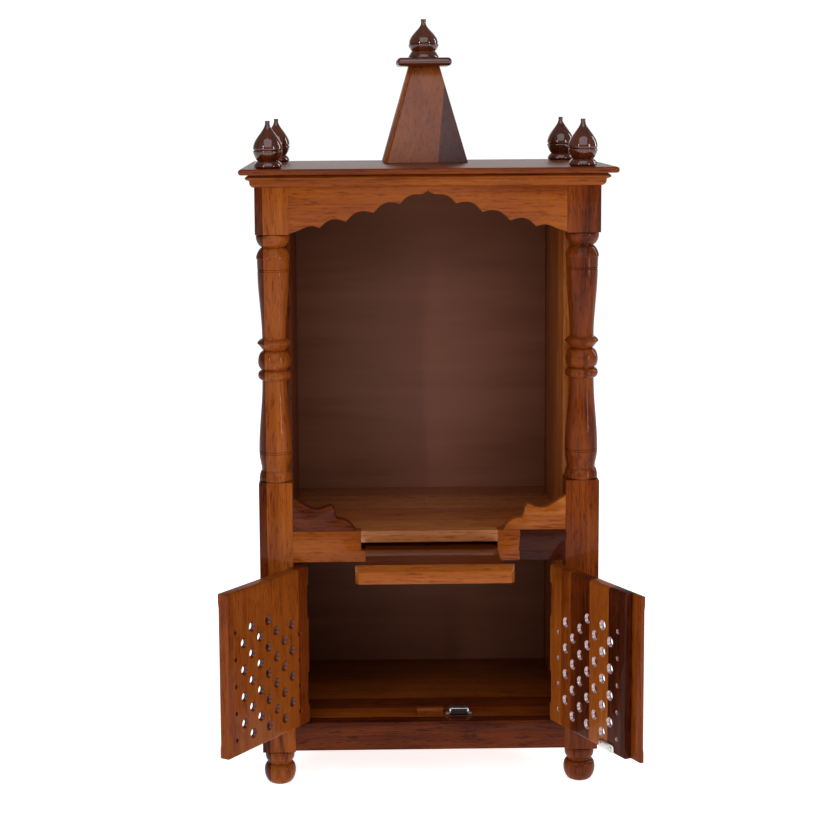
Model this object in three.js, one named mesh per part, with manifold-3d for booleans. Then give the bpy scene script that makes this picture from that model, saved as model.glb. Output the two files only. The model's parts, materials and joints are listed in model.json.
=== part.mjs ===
// A household altar cabinet in solid hardwood: an open shrine niche over a small cupboard with two
// pierced doors, a sliding offering tray between them, turned corner posts and a tapered spire.
// Millimetres, +Z up, the front faces -Y. Doors and tray are modelled open.
import * as THREE from "three";
import { mergeVertices } from "three/addons/utils/BufferGeometryUtils.js";
import Module from "manifold-3d";

const wasm = await Module();
wasm.setup();

// ---- Driving dimensions -------------------------------------------------------------------------

const GAP = 0.3; // between pieces that touch
const POST_OUTER = 205; // half the width over the posts
const POST_SIZE = 40;
const POST_INNER = POST_OUTER - POST_SIZE;
const CARCASS_DEPTH = 290;
const BACK_POST_FRONT = CARCASS_DEPTH - POST_SIZE;

const FOOT_HEIGHT = 43.5;
const LOWER_BLOCK_TOP = 379.3;
const UPPER_BLOCK_BOTTOM = 678;
const CORNICE_BOTTOM = 734;
const BOARD_BOTTOM = 749;
const BOARD_TOP = 756;

const PANEL_THICKNESS = 12;
const BACK_PANEL_FACE = 268.5;
const BACK_PANEL_THICKNESS = 6;

const BOTTOM_RAIL_BOTTOM = 45.4;
const FLOOR_TOP = 80.7;
const FLOOR_THICKNESS = 12;
const RAIL_THICKNESS = 20;
const TRAY_RAIL_BOTTOM = 281.7;
const SHELF_TOP = 319.3;
const SHELF_UNDERSIDE = 305.4;

const DOOR_WIDTH = 162.6;
const DOOR_THICKNESS = 14;
const DOOR_BOTTOM = 82.6;
const DOOR_TOP = 277.6;
const DOOR_EDGE_CLEARANCE = 1.5; // hinge edge to post
const PIN_AHEAD = 4; // hinge pin in front of the door's outer face
const PIN_FROM_POST = 2.5;
const KNUCKLE_RADIUS = 2.2;
const HINGE_HEIGHT = 40;
const HINGE_FROM_END = 43; // hinge centre from the door's top and bottom
const LEFT_DOOR_RECESS = 10.3; // outer face behind the posts' front when shut
const RIGHT_DOOR_RECESS = 5;
const LEFT_DOOR_ANGLE = 123.1; // how far each door stands open
const RIGHT_DOOR_ANGLE = 115.7;
const LIP_WIDTH = 20; // on the right door, laps over the left one
const LIP_THICKNESS = 5;

const HOLE_DIAMETER = 10.4;
const EDGE_HOLE_DIAMETER = 5; // the first and last columns are small blind borings
const EDGE_HOLE_DEPTH = 4;
const HOLE_PITCH = 16; // columns, and half of the spacing down a column
const HOLE_COLUMNS = 9;
const FIRST_COLUMN = 20; // from the hinge edge
const HOLE_SIDES = 8;
const FIELD_PLATE = 4.4; // left of the door's thickness behind the sunk field on its outer face
const FIELD_HEIGHT = 156;
const FIELD_CORNER = 22; // cut across the field's corners

const SLOT_HALF_WIDTH = 82.6;
const SLOT_BOTTOM = 295.6;
const TRAY_WIDTH = 159;
const TRAY_CENTRE = 1.9; // the tray sits a little right of the middle
const TRAY_LENGTH = 215;
const TRAY_BOTTOM = 296.2;
const TRAY_THICKNESS = 4;
const TRAY_FRONT_TOP = 304.8; // the front strip stands up above the board
const TRAY_PULL = 112; // how far the tray is drawn out

const BRACKET_LENGTH = 75.8;
const BRACKET_THICKNESS = 16;

const SPIRE_CENTRE = [3.3, 225];
const SPIRE_BASE = 107.6;
const SPIRE_NECK = 39.5;
const SPIRE_TOP = 877.4;
const SPIRE_BOARD = 5;
const CAP_SIZE = 70;
const CAP_TOP = 888.6;

const POST_SEGMENTS = 16;
const FINIAL_SEGMENTS = 12;

// ---- Materials ----------------------------------------------------------------------------------

const woodOrange = () => new THREE.MeshStandardMaterial({ color: 0x8e4a1f, roughness: 0.3 });
const woodBrown = () => new THREE.MeshStandardMaterial({ color: 0x6b3114, roughness: 0.3 });
const woodDark = () => new THREE.MeshStandardMaterial({ color: 0x3f1a0e, roughness: 0.28 });
const plyDark = () => new THREE.MeshStandardMaterial({ color: 0x3a1f12, roughness: 0.5 });
const steel = () => new THREE.MeshStandardMaterial({ color: 0x8c8a86, roughness: 0.3, metalness: 1 });

// ---- Building blocks ----------------------------------------------------------------------------

function solidFrom(geometry) {
  const bare = geometry.clone();
  bare.deleteAttribute("normal");
  bare.deleteAttribute("uv");
  const merged = mergeVertices(bare, 1e-4);
  return new wasm.Manifold(
    new wasm.Mesh({
      numProp: 3,
      vertProperties: merged.attributes.position.array,
      triVerts: new Uint32Array(merged.index.array),
    }),
  );
}

function geometryFrom(solid) {
  const mesh = solid.getMesh();
  const geometry = new THREE.BufferGeometry();
  geometry.setAttribute("position", new THREE.BufferAttribute(mesh.vertProperties, 3));
  geometry.setIndex(new THREE.BufferAttribute(mesh.triVerts, 1));
  return geometry;
}

function place(parent, name, geometry, material) {
  const mesh = new THREE.Mesh(geometry, material);
  mesh.name = name;
  parent.add(mesh);
  return mesh;
}

function box([x0, x1], [y0, y1], [z0, z1]) {
  const geometry = new THREE.BoxGeometry(x1 - x0, y1 - y0, z1 - z0);
  return geometry.translate((x0 + x1) / 2, (y0 + y1) / 2, (z0 + z1) / 2);
}

function uprightCylinder(radius, z0, z1, x, y, sides) {
  const geometry = new THREE.CylinderGeometry(radius, radius, z1 - z0, sides);
  return geometry.rotateX(Math.PI / 2).translate(x, y, (z0 + z1) / 2);
}

// Extrudes an outline drawn in X and Z from y0 back to y1.
function extrudeAlongY(shape, y0, y1) {
  const geometry = new THREE.ExtrudeGeometry(shape, { depth: y1 - y0, bevelEnabled: false });
  return geometry.rotateX(Math.PI / 2).translate(0, y1, 0);
}

// A board whose edges are half round all the way along.
function bullnoseBoard(width, depth, thickness, segments) {
  const round = thickness / 2 - 0.3;
  const shape = new THREE.Shape();
  const halfWidth = width / 2 - round;
  const halfDepth = depth / 2 - round;
  shape.moveTo(-halfWidth, -halfDepth);
  shape.lineTo(halfWidth, -halfDepth);
  shape.lineTo(halfWidth, halfDepth);
  shape.lineTo(-halfWidth, halfDepth);
  shape.closePath();
  const geometry = new THREE.ExtrudeGeometry(shape, {
    depth: thickness - 2 * round,
    bevelThickness: round,
    bevelSize: round,
    bevelSegments: segments,
  });
  return geometry.translate(0, 0, round);
}

// A solid with eight corners: four at the bottom and four at the top, each counter-clockwise.
function frustum(bottom, top) {
  const corners = [...bottom, ...top];
  const faces = [
    [0, 2, 1], [0, 3, 2], [4, 5, 6], [4, 6, 7],
    [0, 1, 5], [0, 5, 4], [1, 2, 6], [1, 6, 5],
    [2, 3, 7], [2, 7, 6], [3, 0, 4], [3, 4, 7],
  ];
  const geometry = new THREE.BufferGeometry();
  const positions = new Float32Array(corners.flat());
  geometry.setAttribute("position", new THREE.BufferAttribute(positions, 3));
  geometry.setIndex(faces.flat());
  return geometry;
}

// The outline of a turned piece, worked from the bottom up.
class Turning {
  constructor(radius, z) {
    this.points = [new THREE.Vector2(0, z)];
    this.lineTo(radius, z);
  }

  lineTo(radius, z) {
    this.radius = radius;
    this.z = z;
    this.points.push(new THREE.Vector2(radius, z));
    return this;
  }

  // A bead or ball that swells out by `bulge` on its way to the next radius.
  beadTo(radius, z, bulge, steps) {
    const fromRadius = this.radius;
    const fromZ = this.z;
    for (let step = 1; step <= steps; step += 1) {
      const turn = (Math.PI * step) / steps;
      const along = (1 - Math.cos(turn)) / 2;
      const straight = fromRadius + (radius - fromRadius) * along;
      this.lineTo(straight + bulge * Math.sin(turn), fromZ + (z - fromZ) * along);
    }
    return this;
  }

  // A smooth curve that leaves and arrives upright. With a `hold` above 1 it stays wide for longer.
  sweepTo(radius, z, steps, hold = 1) {
    const fromRadius = this.radius;
    const fromZ = this.z;
    for (let step = 1; step <= steps; step += 1) {
      const along = step / steps;
      const held = along ** hold;
      const eased = held * held * (3 - 2 * held);
      this.lineTo(fromRadius + (radius - fromRadius) * eased, fromZ + (z - fromZ) * along);
    }
    return this;
  }

  geometry(segments) {
    const outline = [...this.points, new THREE.Vector2(0, this.z)];
    return new THREE.LatheGeometry(outline, segments).rotateX(Math.PI / 2);
  }
}

const cabinet = new THREE.Group();

// ---- Posts --------------------------------------------------------------------------------------

function footTurning() {
  return new Turning(11, 0)
    .beadTo(14.2, 26, 6.6, 4)
    .lineTo(14.2, 28.5)
    .beadTo(15, FOOT_HEIGHT - 1, 3.4, 4)
    .lineTo(15, FOOT_HEIGHT + 6);
}

function columnTurning() {
  return new Turning(19.4, LOWER_BLOCK_TOP - 4)
    .lineTo(19.4, LOWER_BLOCK_TOP)
    .beadTo(16.9, 392.6, 1.6, 3)
    .sweepTo(19.8, 413.5, 3)
    .lineTo(19, 414.6)
    .lineTo(19.8, 415.7)
    .sweepTo(14.8, 502.5, 4)
    .beadTo(14.8, 515, 4.9, 4)
    .beadTo(12.9, 538, 5.7, 5)
    .lineTo(19.7, 546.4)
    .lineTo(19, 549)
    .lineTo(14.3, 552.5)
    .sweepTo(18.8, 633.8, 4)
    .lineTo(18.1, 635)
    .lineTo(19, 636.2)
    .lineTo(19.2, 648)
    .lineTo(18.4, 655)
    .lineTo(16.3, 660.1)
    .lineTo(13.4, 662)
    .beadTo(18, UPPER_BLOCK_BOTTOM, 3.8, 4)
    .lineTo(18, UPPER_BLOCK_BOTTOM + 4);
}

// Where the hinge leaves are let into a door's edge and screwed to its post.
const HINGE_CENTRES = [DOOR_BOTTOM + HINGE_FROM_END, DOOR_TOP - HINGE_FROM_END];

function postBlock(x, y, z0, z1) {
  const half = POST_SIZE / 2;
  return solidFrom(box([x - half, x + half], [y - half, y + half], [z0, z1]));
}

function frontPost(side) {
  const x = side * (POST_OUTER - POST_SIZE / 2);
  const y = POST_SIZE / 2;
  const column = solidFrom(columnTurning().geometry(POST_SEGMENTS).translate(x, y, 0));
  const foot = solidFrom(footTurning().geometry(POST_SEGMENTS).translate(x, y, 0));
  const post = postBlock(x, y, FOOT_HEIGHT, LOWER_BLOCK_TOP)
    .add(column)
    .add(foot)
    .add(postBlock(x, y, UPPER_BLOCK_BOTTOM, BOARD_BOTTOM - GAP));
  return geometryFrom(post);
}

function backPost(side) {
  const x = side * (POST_OUTER - POST_SIZE / 2);
  const y = CARCASS_DEPTH - POST_SIZE / 2;
  const foot = solidFrom(footTurning().geometry(FINIAL_SEGMENTS).translate(x, y, 0));
  return geometryFrom(postBlock(x, y, FOOT_HEIGHT, BOARD_BOTTOM - GAP).add(foot));
}

place(cabinet, "post_front_left", frontPost(-1), woodOrange());
place(cabinet, "post_front_right", frontPost(1), woodBrown());
place(cabinet, "post_back_left", backPost(-1), woodBrown());
place(cabinet, "post_back_right", backPost(1), woodBrown());

// ---- Panels, shelf and rails --------------------------------------------------------------------

const insideX = [-POST_INNER + GAP, POST_INNER - GAP];
const panelZ = [BOTTOM_RAIL_BOTTOM, BOARD_BOTTOM - GAP];

function sidePanel(side) {
  const faces = [side * POST_INNER, side * (POST_INNER + PANEL_THICKNESS)];
  faces.sort((a, b) => a - b);
  return box(faces, [POST_SIZE + GAP, BACK_POST_FRONT - GAP], panelZ);
}

place(cabinet, "side_panel_left", sidePanel(-1), woodOrange());
place(cabinet, "side_panel_right", sidePanel(1), woodOrange());

const backPanelY = [BACK_PANEL_FACE, BACK_PANEL_FACE + BACK_PANEL_THICKNESS];
place(cabinet, "back_panel", box(insideX, backPanelY, panelZ), plyDark());

// The shelf reaches the front between the two ends of the tray's rail, over the slot.
function shelfBoard() {
  const board = box(insideX, [RAIL_THICKNESS + GAP, BACK_PANEL_FACE - GAP], [SHELF_UNDERSIDE, SHELF_TOP]);
  const reach = SLOT_HALF_WIDTH - GAP;
  const nose = box([-reach, reach], [0, RAIL_THICKNESS + 1], [SHELF_UNDERSIDE, SHELF_TOP]);
  return geometryFrom(solidFrom(board).add(solidFrom(nose)));
}

function trayRail() {
  const rail = solidFrom(box(insideX, [0, RAIL_THICKNESS], [TRAY_RAIL_BOTTOM, SHELF_TOP]));
  const slot = box([-SLOT_HALF_WIDTH, SLOT_HALF_WIDTH], [-5, RAIL_THICKNESS + 5], [SLOT_BOTTOM, SHELF_TOP + 5]);
  return geometryFrom(rail.subtract(solidFrom(slot)));
}

const floorY = [RAIL_THICKNESS + GAP, BACK_PANEL_FACE - GAP];
place(cabinet, "shelf_board", shelfBoard(), woodBrown());
place(cabinet, "tray_rail", trayRail(), woodOrange());
place(cabinet, "floor_board", box(insideX, floorY, [FLOOR_TOP - FLOOR_THICKNESS, FLOOR_TOP]), woodBrown());
place(cabinet, "bottom_rail", box(insideX, [0, RAIL_THICKNESS], [BOTTOM_RAIL_BOTTOM, FLOOR_TOP]), woodDark());

// ---- Scalloped arch under the cornice -----------------------------------------------------------

const ARCH_THICKNESS = 15;
const ARCH_SPRING = 679.4; // height of the arch's foot at the posts
const ARCH_APEX = 729.3;
const ARCH_SHOULDER = [9, 724.6];
const ARCH_CUSPS = [[32.8, 713.7], [64.2, 703.4], [97.2, 693], [128.4, 685.5]];
const SCALLOP_RISE = 6.6;

// Steps along a shallow arc from one point to another, bowed to the left by `rise`.
function bowTo(path, from, to, rise, steps) {
  const across = new THREE.Vector2(from[1] - to[1], to[0] - from[0]).normalize();
  for (let step = 1; step <= steps; step += 1) {
    const along = step / steps;
    const lift = rise * Math.sin(Math.PI * along);
    path.push([
      from[0] + (to[0] - from[0]) * along + across.x * lift,
      from[1] + (to[1] - from[1]) * along + across.y * lift,
    ]);
  }
}

function archShape() {
  const edge = [[0, ARCH_APEX]];
  bowTo(edge, edge[0], ARCH_SHOULDER, -0.8, 2);
  bowTo(edge, ARCH_SHOULDER, ARCH_CUSPS[0], 4.2, 5);
  for (let cusp = 1; cusp < ARCH_CUSPS.length; cusp += 1) {
    bowTo(edge, ARCH_CUSPS[cusp - 1], ARCH_CUSPS[cusp], SCALLOP_RISE, 6);
  }
  const lastCusp = ARCH_CUSPS.at(-1);
  const flare = [148, 685.4];
  bowTo(edge, lastCusp, flare, 2.6, 4);
  bowTo(edge, flare, [insideX[1], ARCH_SPRING], -0.6, 2);
  const shape = new THREE.Shape();
  shape.moveTo(insideX[1], BOARD_BOTTOM - GAP);
  shape.lineTo(insideX[0], BOARD_BOTTOM - GAP);
  for (const [x, z] of [...edge].reverse()) shape.lineTo(-x, z);
  for (const [x, z] of edge.slice(1)) shape.lineTo(x, z);
  shape.closePath();
  return shape;
}

place(cabinet, "arch_frieze", extrudeAlongY(archShape(), 0, ARCH_THICKNESS), woodOrange());

// ---- Cornice moulding ---------------------------------------------------------------------------

// Outwards and upwards from the face that the moulding is fixed to.
function corniceProfile() {
  const profile = [[0, CORNICE_BOTTOM], [0.8, CORNICE_BOTTOM]];
  bowTo(profile, profile[1], [5.2, 741], -1.6, 3);
  profile.push([5.6, 742]);
  bowTo(profile, profile.at(-1), [6.4, BOARD_BOTTOM - GAP], -4.2, 5);
  profile.push([0, BOARD_BOTTOM - GAP]);
  return profile;
}

// A length of moulding along X on a face looking to -Y, its ends mitred or square.
function corniceLength(startX, endX, mitreStart, mitreEnd) {
  const profile = corniceProfile();
  const shape = new THREE.Shape(profile.map(([out, z]) => new THREE.Vector2(out, z)));
  const geometry = new THREE.ExtrudeGeometry(shape, { depth: 1, bevelEnabled: false });
  const position = geometry.attributes.position;
  for (let index = 0; index < position.count; index += 1) {
    const out = position.getX(index);
    const atStart = position.getZ(index) > 0.5;
    const mitre = atStart ? mitreStart : mitreEnd;
    const x = (atStart ? startX : endX) + (atStart ? -1 : 1) * (mitre ? out : 0);
    position.setXYZ(index, x, -out, position.getY(index));
  }
  return geometry;
}

const corniceFace = POST_OUTER + GAP;
place(cabinet, "cornice_front", corniceLength(-corniceFace, corniceFace, true, true), woodOrange()).position.y = -GAP;

// A side length runs from the mitre at the front corner to the carcass's back.
function sideCornice(side) {
  const mitreGap = GAP * 1.5;
  const reach = CARCASS_DEPTH + GAP;
  const geometry = side < 0
    ? corniceLength(-reach, -mitreGap, false, true)
    : corniceLength(mitreGap, reach, true, false);
  return geometry.rotateZ((side * Math.PI) / 2).translate(side * corniceFace, -GAP, 0);
}

place(cabinet, "cornice_left", sideCornice(-1), woodOrange());
place(cabinet, "cornice_right", sideCornice(1), woodBrown());

// ---- Top board ----------------------------------------------------------------------------------

const BOARD_HALF_WIDTH = 223.3;
const BOARD_MIDDLE = 0.7; // the board sits a little right of the middle
const BOARD_FRONT = -22;
const BOARD_BACK = 306.5;

const topBoard = bullnoseBoard(2 * BOARD_HALF_WIDTH, BOARD_BACK - BOARD_FRONT, BOARD_TOP - BOARD_BOTTOM, 3);
const boardPlace = [BOARD_MIDDLE, (BOARD_FRONT + BOARD_BACK) / 2, BOARD_BOTTOM];
place(cabinet, "top_board", topBoard, woodBrown()).position.set(...boardPlace);

// ---- Finials ------------------------------------------------------------------------------------

const FINIAL_INSET = 37; // from the board's front and back edges
const LEFT_FINIAL_X = -189;
const RIGHT_FINIAL_X = 184.6;

// Radius and height of each part of a finial: cushion foot, waist, bulb and neck.
const CORNER_FINIAL = { foot: 15.2, swell: 2.6, waist: [12, 8.5], bulb: [17.2, 22], neck: [2.7, 53], tip: 55.6 };
const TOP_FINIAL = { foot: 19.6, swell: 0.8, waist: [14.8, 8.6], bulb: [18.8, 18], neck: [3.2, 44], tip: 48.8 };

function finialTurning({ foot, swell, waist, bulb, neck, tip }) {
  return new Turning(foot, 0)
    .beadTo(waist[0], waist[1], swell, 3)
    .beadTo(bulb[0], bulb[1], 1.6, 3)
    .sweepTo(neck[0], neck[1], 5, 1.2)
    .lineTo(neck[0] + 0.3, tip);
}

function placeFinial(name, shape, x, y, z) {
  const finial = place(cabinet, name, finialTurning(shape).geometry(FINIAL_SEGMENTS), woodDark());
  finial.position.set(x, y, z + GAP);
}

for (const [sideName, x] of [["left", LEFT_FINIAL_X], ["right", RIGHT_FINIAL_X]]) {
  placeFinial(`finial_front_${sideName}`, CORNER_FINIAL, x, BOARD_FRONT + FINIAL_INSET, BOARD_TOP);
  placeFinial(`finial_back_${sideName}`, CORNER_FINIAL, x, BOARD_BACK - FINIAL_INSET, BOARD_TOP);
}

// ---- Spire --------------------------------------------------------------------------------------

// Four boards that lean together, each one covering the end of the board after it. Drawn as the
// front board, then turned by quarters to the right, the back and the left.
function spireBoard(quarters) {
  const level = (half, z) => {
    const start = -half + SPIRE_BOARD + GAP;
    const inner = -half + SPIRE_BOARD;
    return [[start, -half, z], [half, -half, z], [half, inner, z], [start, inner, z]];
  };
  const board = frustum(level(SPIRE_BASE / 2, BOARD_TOP + GAP), level(SPIRE_NECK / 2, SPIRE_TOP));
  return board.rotateZ((quarters * Math.PI) / 2);
}

const spire = new THREE.Group();
spire.position.set(SPIRE_CENTRE[0], SPIRE_CENTRE[1], 0);
cabinet.add(spire);
place(spire, "spire_board_front", spireBoard(0), woodBrown());
place(spire, "spire_board_right", spireBoard(1), woodBrown());
place(spire, "spire_board_back", spireBoard(2), woodBrown());
place(spire, "spire_board_left", spireBoard(3), woodOrange());

const capThickness = CAP_TOP - SPIRE_TOP - GAP;
place(spire, "spire_cap", bullnoseBoard(CAP_SIZE, CAP_SIZE, capThickness, 2), woodDark()).position.z = SPIRE_TOP + GAP;
placeFinial("finial_spire", TOP_FINIAL, SPIRE_CENTRE[0], SPIRE_CENTRE[1], CAP_TOP);

// ---- Brackets on the shelf ----------------------------------------------------------------------

// Half an ogee bracket: X runs from the post towards the middle, Z up from the shelf.
function bracketShape() {
  const length = BRACKET_LENGTH;
  const edge = [[0, 0], [length, 0]];
  bowTo(edge, edge.at(-1), [length - 22, 15.2], -4.2, 5);
  edge.push([length - 24.8, 19.3]);
  edge.push([length - 26, 27.5]);
  bowTo(edge, edge.at(-1), [length - 35, 30], -2.6, 4);
  bowTo(edge, edge.at(-1), [22.5, 27.8], 1.8, 4);
  edge.push([0, 42.3]);
  return edge;
}

function placeBracket(name, side, material) {
  const points = bracketShape().map(([x, z]) => new THREE.Vector2(side * (POST_INNER - GAP - x), SHELF_TOP + GAP + z));
  place(cabinet, name, extrudeAlongY(new THREE.Shape(points), 0, BRACKET_THICKNESS), material);
}

placeBracket("bracket_left", -1, woodDark());
placeBracket("bracket_right", 1, woodOrange());

// ---- Cupboard fittings --------------------------------------------------------------------------

const doorInnerFace = LEFT_DOOR_RECESS + DOOR_THICKNESS;
const stopY = [doorInnerFace + 0.5, doorInnerFace + 9.5];
place(cabinet, "stop_block", box([-15.5, 17], stopY, [FLOOR_TOP + GAP, FLOOR_TOP + 9.3]), woodOrange());

// A magnetic catch: a low case between two screwed ears, with its pole pieces to the front.
const CATCH_CENTRE = 36.5;
const CATCH_FRONT = RIGHT_DOOR_RECESS + DOOR_THICKNESS + 2;

function catchBody() {
  const base = FLOOR_TOP + GAP;
  const plateX = [CATCH_CENTRE - 17.5, CATCH_CENTRE + 17.5];
  const caseX = [CATCH_CENTRE - 12, CATCH_CENTRE + 12];
  const plate = solidFrom(box(plateX, [CATCH_FRONT + 5, CATCH_FRONT + 13], [base, base + 2]));
  const body = solidFrom(box(caseX, [CATCH_FRONT + 1, CATCH_FRONT + 14], [base, base + 9.5]));
  const poles = solidFrom(box([CATCH_CENTRE - 9, CATCH_CENTRE + 9], [CATCH_FRONT, CATCH_FRONT + 3], [base + 2, base + 7.5]));
  return geometryFrom(plate.add(body).add(poles));
}

place(cabinet, "magnet_catch", catchBody(), steel());

// ---- Tray ---------------------------------------------------------------------------------------

const trayLeft = TRAY_CENTRE - TRAY_WIDTH / 2;
const trayRight = TRAY_CENTRE + TRAY_WIDTH / 2;
const TRAY_FRONT_WIDTH = 183.6;
const TRAY_FRONT_THICKNESS = 14;
const TRAY_FRONT_BOTTOM = 283.7;
const RUNNER_LENGTH = 225;

// An L-shaped strip under the shelf that carries one edge of the tray.
function trayRunner(side) {
  const ledgeTop = TRAY_BOTTOM - GAP;
  const wallInner = side < 0 ? trayLeft - 1 : trayRight + 1;
  const wallOuter = wallInner + side * 10;
  const ledgeInner = wallInner - side * 12;
  const y = [RAIL_THICKNESS + GAP, RAIL_THICKNESS + RUNNER_LENGTH];
  const span = (a, b) => [Math.min(a, b), Math.max(a, b)];
  const wall = solidFrom(box(span(wallInner, wallOuter), y, [ledgeTop - 10, SHELF_UNDERSIDE - GAP]));
  const ledge = solidFrom(box(span(ledgeInner, wallOuter), y, [ledgeTop - 10, ledgeTop]));
  return geometryFrom(wall.add(ledge));
}

place(cabinet, "tray_runner_left", trayRunner(-1), woodBrown());
place(cabinet, "tray_runner_right", trayRunner(1), woodBrown());

const tray = new THREE.Group();
tray.position.set(TRAY_CENTRE, -TRAY_PULL - GAP, 0);
cabinet.add(tray);

const trayX = [-TRAY_WIDTH / 2, TRAY_WIDTH / 2];
place(tray, "tray_board", box(trayX, [0, TRAY_LENGTH], [TRAY_BOTTOM, TRAY_BOTTOM + TRAY_THICKNESS]), woodDark());

// The front strip: its front face is smaller than its back, with a sloping border all round.
function trayFront() {
  const half = TRAY_FRONT_WIDTH / 2;
  const top = TRAY_FRONT_TOP;
  const square = 3; // thickness behind the sloping border
  const level = (reach, low, high, out) => [
    [-reach, low, out], [reach, low, out], [reach, high, out], [-reach, high, out],
  ];
  const slab = frustum(
    level(half, TRAY_FRONT_BOTTOM, top, 0),
    level(half, TRAY_FRONT_BOTTOM, top, square),
  );
  const face = frustum(
    level(half, TRAY_FRONT_BOTTOM, top, square - 0.1),
    level(half - 4, TRAY_FRONT_BOTTOM + 1.5, top - 5.6, TRAY_FRONT_THICKNESS),
  );
  const strip = geometryFrom(solidFrom(slab).add(solidFrom(face)));
  return strip.rotateX(Math.PI / 2).translate(0, -GAP, 0);
}

place(tray, "tray_front", trayFront(), woodOrange());

// ---- Doors --------------------------------------------------------------------------------------

// Each door is drawn shut, in its hinge's own frame: the pin is at the origin, the door runs to +X
// and its outer face looks to -Y. The left door is used as drawn, the right one is mirrored.
const doorHingeEdge = DOOR_EDGE_CLEARANCE - PIN_FROM_POST;
const doorZ = [DOOR_BOTTOM, DOOR_TOP];

function jaliHole(x, z, radius, y0, y1) {
  const hole = new THREE.CylinderGeometry(radius, radius, y1 - y0, HOLE_SIDES);
  return solidFrom(hole.translate(x, (y0 + y1) / 2, z));
}

function jaliHoles(mirror) {
  const holes = [];
  const middle = (DOOR_BOTTOM + DOOR_TOP) / 2 - 14;
  const inner = PIN_AHEAD + DOOR_THICKNESS;
  for (let column = 0; column < HOLE_COLUMNS; column += 1) {
    const offset = column % 2;
    const isEdge = column === 0 || column === HOLE_COLUMNS - 1;
    for (let row = -2; row <= 2; row += 1) {
      const lowerInColumn = offset === 1 ? row - 0.5 : row;
      const isLeftOut = (offset === 1 && row === -2) || (row === 2 && offset === 0 && column < 3);
      if (isLeftOut) continue;
      const x = mirror * (doorHingeEdge + FIRST_COLUMN + column * HOLE_PITCH);
      const z = middle + lowerInColumn * 2 * HOLE_PITCH;
      const radius = (isEdge ? EDGE_HOLE_DIAMETER : HOLE_DIAMETER) / 2;
      const start = isEdge ? inner - EDGE_HOLE_DEPTH : 0;
      holes.push(jaliHole(x, z, radius, start, inner + 5));
    }
  }
  return holes;
}

// The field sunk in a door's outer face behind the through holes.
function sunkField(mirror) {
  const x0 = doorHingeEdge + FIRST_COLUMN + HOLE_PITCH / 2;
  const x1 = x0 + (HOLE_COLUMNS - 2) * HOLE_PITCH;
  const z0 = (DOOR_BOTTOM + DOOR_TOP - FIELD_HEIGHT) / 2 - 14;
  const z1 = z0 + FIELD_HEIGHT;
  const cut = FIELD_CORNER;
  const outline = [
    [x0 + cut, z0], [x1 - cut, z0], [x1, z0 + cut], [x1, z1 - cut],
    [x1 - cut, z1], [x0 + cut, z1], [x0, z1 - cut], [x0, z0 + cut],
  ];
  const shape = new THREE.Shape(outline.map(([x, z]) => new THREE.Vector2(mirror * x, z)));
  return solidFrom(extrudeAlongY(shape, 0, PIN_AHEAD + DOOR_THICKNESS - FIELD_PLATE));
}

function doorBoard(mirror, hasLip) {
  const span = (a, b) => [Math.min(mirror * a, mirror * b), Math.max(mirror * a, mirror * b)];
  const freeEdge = doorHingeEdge + DOOR_WIDTH;
  const outer = PIN_AHEAD;
  let door = solidFrom(box(span(doorHingeEdge, freeEdge), [outer, outer + DOOR_THICKNESS], doorZ));
  if (hasLip) {
    const lip = box(span(freeEdge - 1, freeEdge + LIP_WIDTH), [outer, outer + LIP_THICKNESS], doorZ);
    door = door.add(solidFrom(lip));
  }
  for (const centre of HINGE_CENTRES) {
    const z = [centre - HINGE_HEIGHT / 2 - GAP, centre + HINGE_HEIGHT / 2 + GAP];
    door = door.subtract(solidFrom(box(span(doorHingeEdge - 5, doorHingeEdge + 3), [0, 30], z)));
  }
  door = door.subtract(sunkField(mirror));
  for (const hole of jaliHoles(mirror)) door = door.subtract(hole);
  return geometryFrom(door);
}

// The door's hinge leaf fills most of its notch, clear of the knuckle.
function doorLeaf(mirror, centre) {
  const span = (a, b) => [Math.min(mirror * a, mirror * b), Math.max(mirror * a, mirror * b)];
  const x = span(doorHingeEdge + 1.2, doorHingeEdge + 3 - GAP);
  const y = [KNUCKLE_RADIUS + GAP, PIN_AHEAD + DOOR_THICKNESS - 1];
  return box(x, y, [centre - HINGE_HEIGHT / 2, centre + HINGE_HEIGHT / 2]);
}

// The post's leaf lies on the post's inner face and carries the knuckle.
function postLeaf(mirror, centre) {
  const span = (a, b) => [Math.min(mirror * a, mirror * b), Math.max(mirror * a, mirror * b)];
  const z = [centre - HINGE_HEIGHT / 2, centre + HINGE_HEIGHT / 2];
  const leaf = solidFrom(box(span(-PIN_FROM_POST + GAP, -PIN_FROM_POST + 1.2), [0, 17], z));
  const knuckle = solidFrom(uprightCylinder(KNUCKLE_RADIUS, z[0], z[1], 0, 0, 10));
  return geometryFrom(leaf.add(knuckle));
}

function placeDoor({ side, sideName, recess, angle, hasLip, material }) {
  const mirror = -side;
  const hinge = new THREE.Group();
  hinge.position.set(side * (POST_INNER - PIN_FROM_POST), recess - PIN_AHEAD, 0);
  cabinet.add(hinge);
  const swung = new THREE.Group();
  swung.rotation.z = side * THREE.MathUtils.degToRad(angle);
  hinge.add(swung);
  place(swung, `door_${sideName}`, doorBoard(mirror, hasLip), material);
  for (const [end, centre] of [["lower", HINGE_CENTRES[0]], ["upper", HINGE_CENTRES[1]]]) {
    place(swung, `hinge_door_leaf_${sideName}_${end}`, doorLeaf(mirror, centre), steel());
    place(hinge, `hinge_post_leaf_${sideName}_${end}`, postLeaf(mirror, centre), steel());
  }
  return swung;
}

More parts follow.
